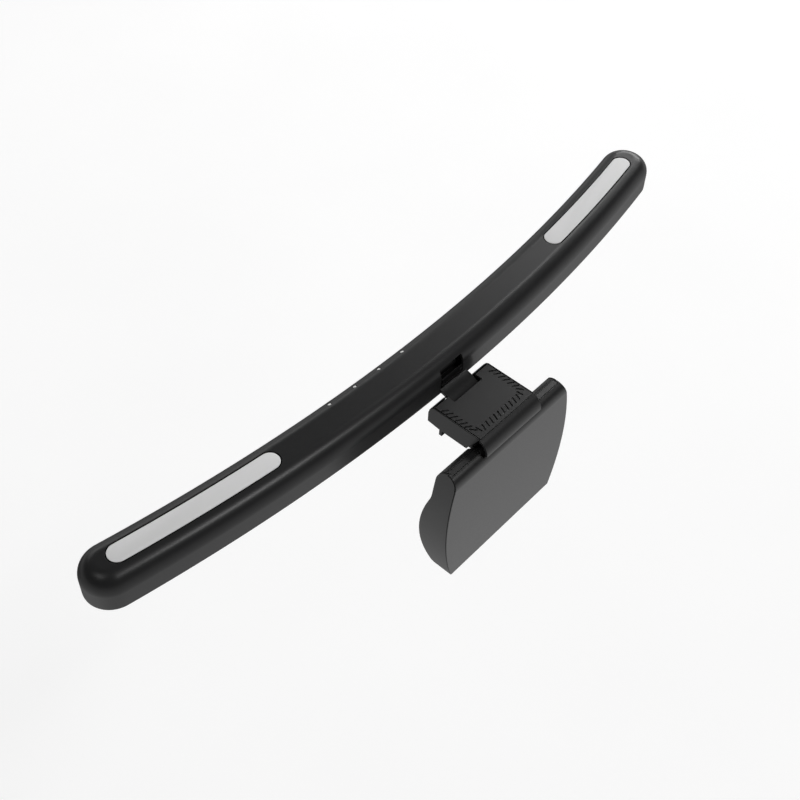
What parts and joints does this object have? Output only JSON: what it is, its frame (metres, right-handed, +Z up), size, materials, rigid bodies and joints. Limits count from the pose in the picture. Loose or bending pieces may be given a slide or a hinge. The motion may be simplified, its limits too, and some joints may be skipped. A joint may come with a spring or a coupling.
{
  "type": "monitor light bar",
  "caption": "Curved lamp bar on a clip that rests on a monitor's top edge, with backlight windows, touch marks, a tilting arm and a swinging counterweight behind.",
  "frame": {"origin": "middle of the rubber rest pad's underside, which lies on the monitor's top edge", "axes": "+X along the bar, to the right of the person at the desk; -Y towards that person; +Z up"},
  "size_m": [0.45, 0.0952, 0.1137],
  "materials": {
    "bar_black": "satin",
    "clip_black": "matte",
    "weight_black": "matte",
    "opal": "satin",
    "white_plastic": "satin",
    "circuit_board": "satin",
    "led_board": "satin",
    "ribbon": "satin",
    "steel": "satin",
    "rubber": "matte",
    "insert": "matte"
  },
  "bodies": {
    "clip": {"clip_base": "clip_black", "clip_cover": "clip_black", "hinge_hood": "clip_black", "tilt_arm": "clip_black", "rest_pad": "rubber", "lip_pad": "rubber", "hinge_pin": "steel", "arm_screw_left": "steel", "arm_screw_right": "steel", "hood_screw_left": "steel", "hood_screw_right": "steel"},
    "bar": {"bar_housing": "bar_black", "bottom_frame": "bar_black", "main_diffuser": "opal", "main_reflector": "white_plastic", "main_led_board": "led_board", "backlight_diffuser_right": "opal", "backlight_diffuser_left": "opal", "backlight_board_right": "led_board", "backlight_board_left": "led_board", "ribbon_lead_right": "ribbon", "ribbon_lead_left": "ribbon", "control_board": "circuit_board", "touch_board": "circuit_board", "usb_shell": "steel", "usb_tongue": "insert", "tilt_bracket": "steel", "tilt_pin": "steel", "lock_nut": "steel", "friction_washer_left": "insert", "friction_washer_right": "insert", "bracket_screw_left": "steel", "bracket_screw_right": "steel", "touch_mark_1": "white_plastic", "touch_mark_2": "white_plastic", "touch_mark_3": "white_plastic", "touch_mark_4": "white_plastic", "frame_screw_1": "steel", "frame_screw_2": "steel", "frame_screw_3": "steel", "frame_screw_4": "steel", "frame_screw_5": "steel", "frame_screw_6": "steel"},
    "counterweight": {"weight_front_shell": "weight_black", "weight_rear_cover": "weight_black", "steel_weight": "steel", "back_pad": "rubber", "hinge_bush_left": "insert", "hinge_bush_right": "insert", "seam_strip_left": "weight_black", "seam_strip_right": "weight_black", "shell_screw_1": "steel", "shell_screw_2": "steel", "shell_screw_3": "steel", "shell_screw_4": "steel"}
  },
  "joints": [
    {"name": "bar_tilt", "type": "hinge", "parent": "clip", "child": "bar", "pos_m": [0, -0.0315, 0.0177], "axis": [-1, 0, 0], "range_deg": [0, 35]},
    {"name": "counterweight_swing", "type": "hinge", "parent": "clip", "child": "counterweight", "pos_m": [0, 0.015, -0.002], "axis": [1, 0, 0], "range_deg": [-12, 80]}
  ]
}
